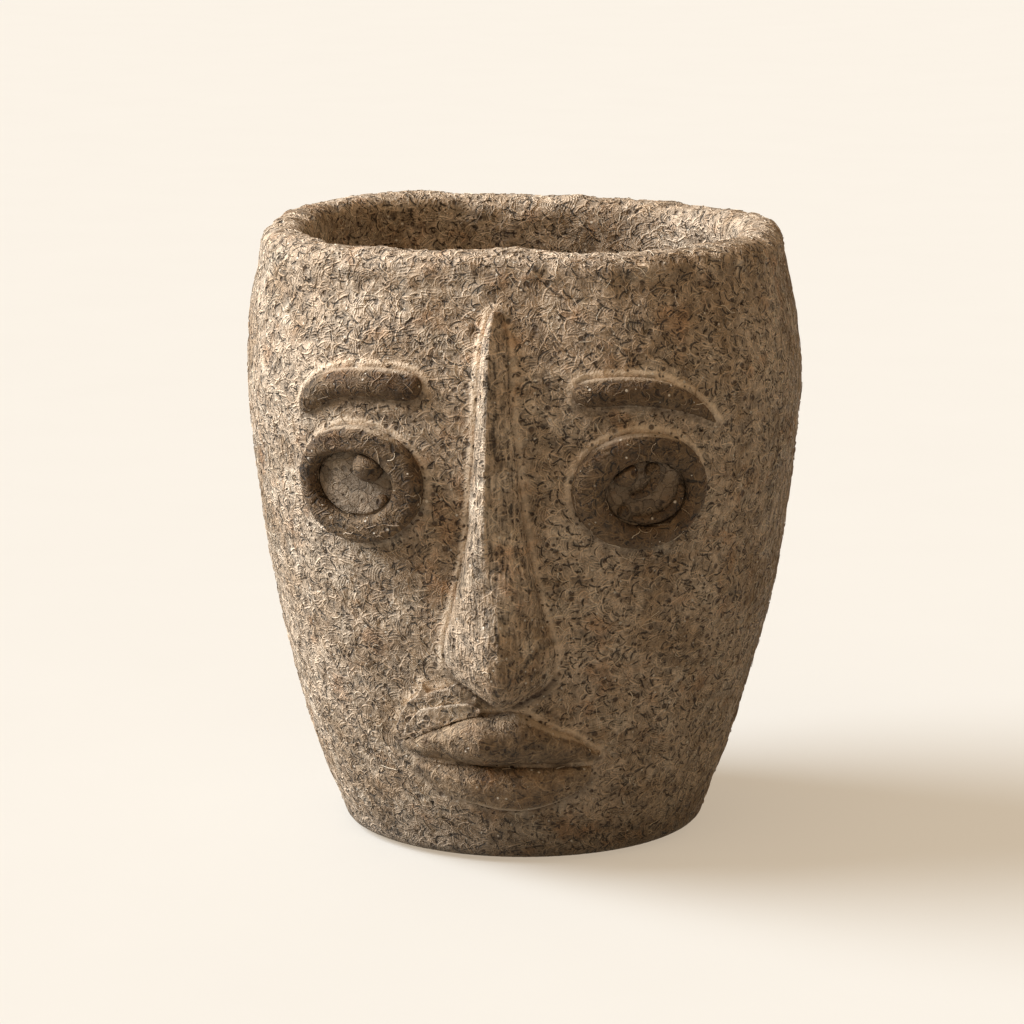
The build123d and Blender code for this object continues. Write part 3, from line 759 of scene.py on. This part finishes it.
def dress_piece(name, node, voxel, rounds, roughness, stand_out, cover):
    """Applied piece of mix: bedded in the wall, moved with its lumps and given its own unevenness."""
    obj = remeshed(name, node, voxel, rounds)
    mesh = obj.data
    places = coordinates(mesh)
    facing = normals(mesh)
    foot, wall_normal, rise = np.zeros_like(places), np.zeros_like(places), np.zeros(len(places))
    for row, place in enumerate(places):
        point, direction, _, _ = pot_tree.find_nearest(place)
        foot[row], wall_normal[row] = point, direction
        rise[row] = (Vector(place) - point).dot(direction)
    bedding = 1.0 * MM * (1 - smooth_step(0, 0.7 * MM, rise))
    height = roughness * MM * lumps_of(places, piece_lump_sizes)
    moved = places + facing * (height * smooth_step(0.3 * MM, 1.5 * MM, rise))[:, None]
    moved += wall_normal * (wall_lumps(foot) - bedding)[:, None]
    moved += wall_normal * (stand_out * MM * smooth_step(0.4 * MM, 1.4 * MM, rise))[:, None]
    for settings in fuller.get(node, ()):
        moved += filled_out(foot, wall_normal, rise, *settings)
    if node.endswith("pupil"):
        moved += facing * bead_growth
    put_coordinates(mesh, moved)
    # Upper sides of the brows, the rings and the upper lip's right, and the lower lip's under edge, are wiped clear
    # of strands and painted pale as painted highlight
    wiped_and_highlight = np.zeros(len(places))
    if node.endswith(("brow", "ring")):
        level = (places[:, 2] - places[:, 2].mean()) / np.ptp(places[:, 2])
        wiped_and_highlight = smooth_step(0.4, 0.95, facing[:, 2]) * smooth_step(-0.35, 0, level)
    if node == "upper_lip":
        wiped_and_highlight = smooth_step(0.4, 0.8, facing[:, 2]) * smooth_step(-4 * MM, 8 * MM, places[:, 0])
    if node == "lower_lip":
        wiped_and_highlight = smooth_step(0.5, 0.85, -facing[:, 2])
    put_attribute(mesh, "edge", unwiped_edge - (unwiped_edge - ridge_centre) * wiped_and_highlight)
    put_attribute(mesh, "band", 0.6 * wiped_and_highlight)
    put_attribute(mesh, "cover", cover * smooth_step(0.6 * MM, 1.6 * MM, rise) * (1 - wiped_and_highlight))
    return obj


# Fibres: room for each, how many to a square metre at most, length, radius, and lift off the surface
fibre_spacing = 2.8 * MM
fibre_density = 130000
fibre_length = 4.6 * MM
fibre_radius = 0.37 * MM
fibre_lift = 0.18 * MM
fibre_least, fibre_most = (0.55, 0.55, 0.8), (1.35, 1.35, 1.2)

# Strands from straight to hooked, as shares of the length
strand_routes = (
    ((-0.5, 0), (-0.2, 0.04), (0.2, 0.02), (0.5, -0.03)),
    ((-0.45, 0), (-0.25, 0.22), (0.2, 0.24), (0.45, 0)),
    ((-0.4, 0), (-0.3, 0.42), (0.25, 0.44), (0.38, 0.05)),
    ((-0.5, -0.1), (-0.2, 0.2), (0.15, -0.25), (0.5, 0.1)),
    ((-0.3, 0), (-0.32, 0.5), (0.3, 0.55), (0.2, 0.1)),
    ((-0.3, 0), (-0.1, 0.03), (0.1, -0.03), (0.3, 0.02)),
)


def fibre_tree():
    """Scatters short curved strands over a surface, half sunk in it and following its shape."""
    tree = bpy.data.node_groups.new("scattered_fibres", "GeometryNodeTree")
    sockets = tree.interface
    sockets.new_socket("Surface", in_out="INPUT", socket_type="NodeSocketGeometry")
    sockets.new_socket("Seed", in_out="INPUT", socket_type="NodeSocketInt").default_value = 1
    sockets.new_socket("Cover", in_out="INPUT", socket_type="NodeSocketString").default_value = "cover"
    sockets.new_socket("Mix", in_out="INPUT", socket_type="NodeSocketMaterial")
    sockets.new_socket("Fibres", in_out="OUTPUT", socket_type="NodeSocketGeometry")
    given = add_node(tree, "NodeGroupInput").node.outputs
    surface = given["Surface"]
    here = add_node(tree, "GeometryNodeInputPosition")

    cover = add_node(tree, "GeometryNodeInputNamedAttribute", given["Cover"], data_type="FLOAT")
    points = add_node(
        tree,
        "GeometryNodeDistributePointsOnFaces",
        surface,
        named={
            "Distance Min": fibre_spacing,
            "Density Max": fibre_density,
            "Density Factor": cover,
            "Seed": given["Seed"],
        },
        distribute_method="POISSON",
    )

    strands = add_node(tree, "GeometryNodeJoinGeometry")
    profile = add_node(tree, "GeometryNodeCurvePrimitiveCircle", 4, named={"Radius": fibre_radius})
    along = add_node(tree, "GeometryNodeSplineParameter")
    end = add_node(tree, MATH, along, 2, -1, operation="MULTIPLY_ADD")
    end = add_node(tree, MATH, end, 4, operation="POWER")
    taper = add_node(tree, MATH, end, -0.7, 1, operation="MULTIPLY_ADD")
    for route in strand_routes:
        corners = [(x * fibre_length, y * fibre_length, 0) for x, y in route]
        curve = add_node(tree, "GeometryNodeCurvePrimitiveBezierSegment", 4, *corners)
        tube = add_node(tree, "GeometryNodeCurveToMesh", curve, profile, taper, True)
        tree.links.new(add_node(tree, "GeometryNodeGeometryToInstance", tube), strands.node.inputs[0])

    angle = add_node(tree, "FunctionNodeRandomValue", named={2: 0, 3: TURN, "Seed": 11}, out=1)
    spin = add_node(tree, "FunctionNodeAxisAngleToRotation", (0, 0, 1), angle)
    turned = add_node(
        tree, "FunctionNodeRotateRotation", points.node.outputs["Rotation"], spin, rotation_space="LOCAL"
    )
    choice = add_node(
        tree, "FunctionNodeRandomValue", named={4: 0, 5: len(strand_routes) - 1, "Seed": 12}, data_type="INT", out=2
    )
    size = add_node(
        tree,
        "FunctionNodeRandomValue",
        fibre_least,
        fibre_most,
        named={"Seed": 13},
        data_type="FLOAT_VECTOR",
    )
    scattered = add_node(
        tree,
        "GeometryNodeInstanceOnPoints",
        points,
        named={
            "Instance": strands,
            "Pick Instance": True,
            "Instance Index": choice,
            "Rotation": turned,
            "Scale": size,
        },
    )
    tone = add_node(tree, "FunctionNodeRandomValue", named={2: 0, 3: 1, "Seed": 14}, out=1)
    normal = add_node(tree, "GeometryNodeInputNormal")
    facing = add_node(
        tree,
        "GeometryNodeSampleNearestSurface",
        surface,
        named={"Value": normal, "Sample Position": here},
        data_type="FLOAT_VECTOR",
    )
    for name, kind, value in (
        ("fibre_tone", "FLOAT", tone), ("root", "FLOAT_VECTOR", here), ("upright", "FLOAT_VECTOR", facing)
    ):
        scattered = add_node(
            tree,
            "GeometryNodeStoreNamedAttribute",
            scattered,
            named={"Name": name, "Value": value},
            domain="INSTANCE",
            data_type=kind,
        )
    real = add_node(tree, "GeometryNodeRealizeInstances", scattered)

    # Each point keeps its height over its strand's root and is laid on the surface under it
    root = add_node(tree, "GeometryNodeInputNamedAttribute", "root", data_type="FLOAT_VECTOR")
    up = add_node(tree, "GeometryNodeInputNamedAttribute", "upright", data_type="FLOAT_VECTOR")
    away = add_node(tree, VECTOR, here, root, operation="SUBTRACT")
    lift = add_node(tree, VECTOR, away, up, operation="DOT_PRODUCT", out="Value")
    lift = add_node(tree, MATH, lift, fibre_lift, operation="ADD")
    under = add_node(
        tree,
        "GeometryNodeSampleNearestSurface",
        surface,
        named={"Value": here, "Sample Position": here},
        data_type="FLOAT_VECTOR",
    )
    raised = add_node(tree, VECTOR, facing, named={"Scale": lift}, operation="SCALE")
    laid = add_node(
        tree,
        "GeometryNodeSetPosition",
        real,
        named={"Position": add_node(tree, VECTOR, under, raised, operation="ADD")},
    )
    smooth = add_node(tree, "GeometryNodeSetShadeSmooth", laid)
    finished = add_node(tree, "GeometryNodeSetMaterial", smooth, named={"Material": given["Mix"]})
    add_node(tree, "NodeGroupOutput", finished)
    return tree


scattered_fibres = fibre_tree()


def grow_fibres(name, surface, cover, seed):
    """Strands over one surface, as a plain mesh of their own."""
    obj = new_object(name, surface.data.copy())
    modifier = obj.modifiers.new("fibres", "NODES")
    modifier.node_group = scattered_fibres
    values = {"Cover": cover, "Seed": seed, "Mix": fibre_mix}
    for item in scattered_fibres.interface.items_tree:
        if item.in_out == "INPUT" and item.name in values:
            modifier[item.identifier] = values[item.name]
    evaluated = obj.evaluated_get(bpy.context.evaluated_depsgraph_get())
    mesh = bpy.data.meshes.new_from_object(evaluated)
    obj.modifiers.clear()
    obj.data = mesh
    print("fibres", name, sum(len(p.vertices) - 2 for p in mesh.polygons), "triangles")
    return obj


def finish_piece(obj, mix, *nodes):
    """Makes a piece ride on the pot in the mix's slot, in place of its CAD nodes."""
    if not obj.data.materials:
        obj.data.materials.append(mix)
    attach(obj, pot_pieces)
    if nodes:
        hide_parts(*nodes)


pot_wall = build_pot_wall()
finish_piece(pot_wall, stone_mix, "pot_body")
for seed, part in enumerate(("front_left", "front_right", "back_left", "back_right", "inside")):
    finish_piece(grow_fibres(f"{part}_fibres", pot_wall, f"cover_{part}", seed), fibre_mix)

for seed, (node, (voxel, rounds, roughness, stand_out, cover, mix)) in enumerate(applied_pieces.items()):
    piece = dress_piece(f"{node}_mix", node, voxel * MM, rounds, roughness, stand_out, cover)
    finish_piece(piece, mix, node)
    if cover:
        finish_piece(grow_fibres(f"{node}_fibres", piece, "cover", 20 + seed), fibre_mix)

for node, rubber in [("drain_plug", plug_rubber)] + [(f"foot_pad_{i}", pad_rubber) for i in range(1, 5)]:
    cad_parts[node].data.materials.clear()
    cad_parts[node].data.materials.append(rubber)


# Floor and light
floor_reach = 12


def floor_material(name, hex_colour):
    """Matt studio paper: seen pale and even with the pot's soft shadow, and giving little light back to the pot."""
    material, tree = empty_material(name)
    fibres = grain_at(tree, place_in_mm(tree), 90, 3, 2)
    tone = add_node(tree, STEP, fibres, 0.3, 0.7, named={"To Min": 0.985, "To Max": 1.005})
    colour = add_node(tree, VECTOR, linear(hex_colour)[:3], named={"Scale": tone}, operation="SCALE")
    paper = add_node(
        tree,
        "ShaderNodeBsdfDiffuse",
        add_node(tree, VECTOR, colour, named={"Scale": 0.42}, operation="SCALE"),
    )
    glow = add_node(tree, "ShaderNodeEmission", linear("#ffebd1"), 0.462)
    seen = add_node(tree, "ShaderNodeAddShader", paper, glow)
    dim = add_node(
        tree,
        "ShaderNodeBsdfDiffuse",
        add_node(tree, VECTOR, linear("#f6efe4")[:3], named={"Scale": 0.22}, operation="SCALE"),
    )
    camera_ray = add_node(tree, "ShaderNodeLightPath", out="Is Camera Ray")
    rays = camera_ray.node.outputs
    direct = add_node(tree, MATH, camera_ray, rays["Is Glossy Ray"], operation="MAXIMUM")
    direct = add_node(tree, MATH, direct, rays["Is Transmission Ray"], operation="MAXIMUM")
    add_node(tree, "ShaderNodeOutputMaterial", add_node(tree, "ShaderNodeMixShader", direct, dim, seen))
    return material


def build_floor():
    """Wide plain floor, which fills the picture behind the pot."""
    mesh = bpy.data.meshes.new("floor")
    corners = [(x * floor_reach, y * floor_reach, 0) for x, y in ((-1, -1), (1, -1), (1, 1), (-1, 1))]
    mesh.from_pydata(corners, [], [(0, 1, 2, 3)])
    mesh.materials.append(floor_material("studio_paper", "#e4eff7"))
    floor = new_object("floor", mesh)


def add_sun(name, azimuth, elevation, strength, angle, hex_colour):
    """Distant lamp: azimuth in degrees to the left of the camera, elevation in degrees over the floor."""
    data = bpy.data.lights.new(name, "SUN")
    data.energy = strength
    data.angle = math.radians(angle)
    data.color = linear(hex_colour)[:3]
    sun = new_object(name, data)
    turn = camera_azimuth - math.radians(azimuth)
    lift = math.radians(elevation)
    towards = Vector((math.sin(turn) * math.cos(lift), -math.cos(turn) * math.cos(lift), math.sin(lift)))
    sun.rotation_euler = towards.to_track_quat("Z", "Y").to_euler()


build_floor()
add_sun("window_light", 96, 36, 5.7, 42, "#ffffff")
add_sun("ceiling_glow", 50, 66, 0.7, 70, "#ffe0bc")

bpy.context.scene.view_settings.view_transform = "Standard"
world = bpy.data.worlds.new("room")
bpy.context.scene.world = world
world.use_nodes = True
world.node_tree.nodes.clear()
sky = add_node(world.node_tree, "ShaderNodeBackground", linear("#ffdaae"), 0.31)
paper_glow = add_node(world.node_tree, "ShaderNodeBackground", linear("#fbf3e8"), 0.97)
camera_ray = add_node(world.node_tree, "ShaderNodeLightPath", out="Is Camera Ray")
add_node(
    world.node_tree,
    "ShaderNodeOutputWorld",
    add_node(world.node_tree, "ShaderNodeMixShader", camera_ray, sky, paper_glow),
)
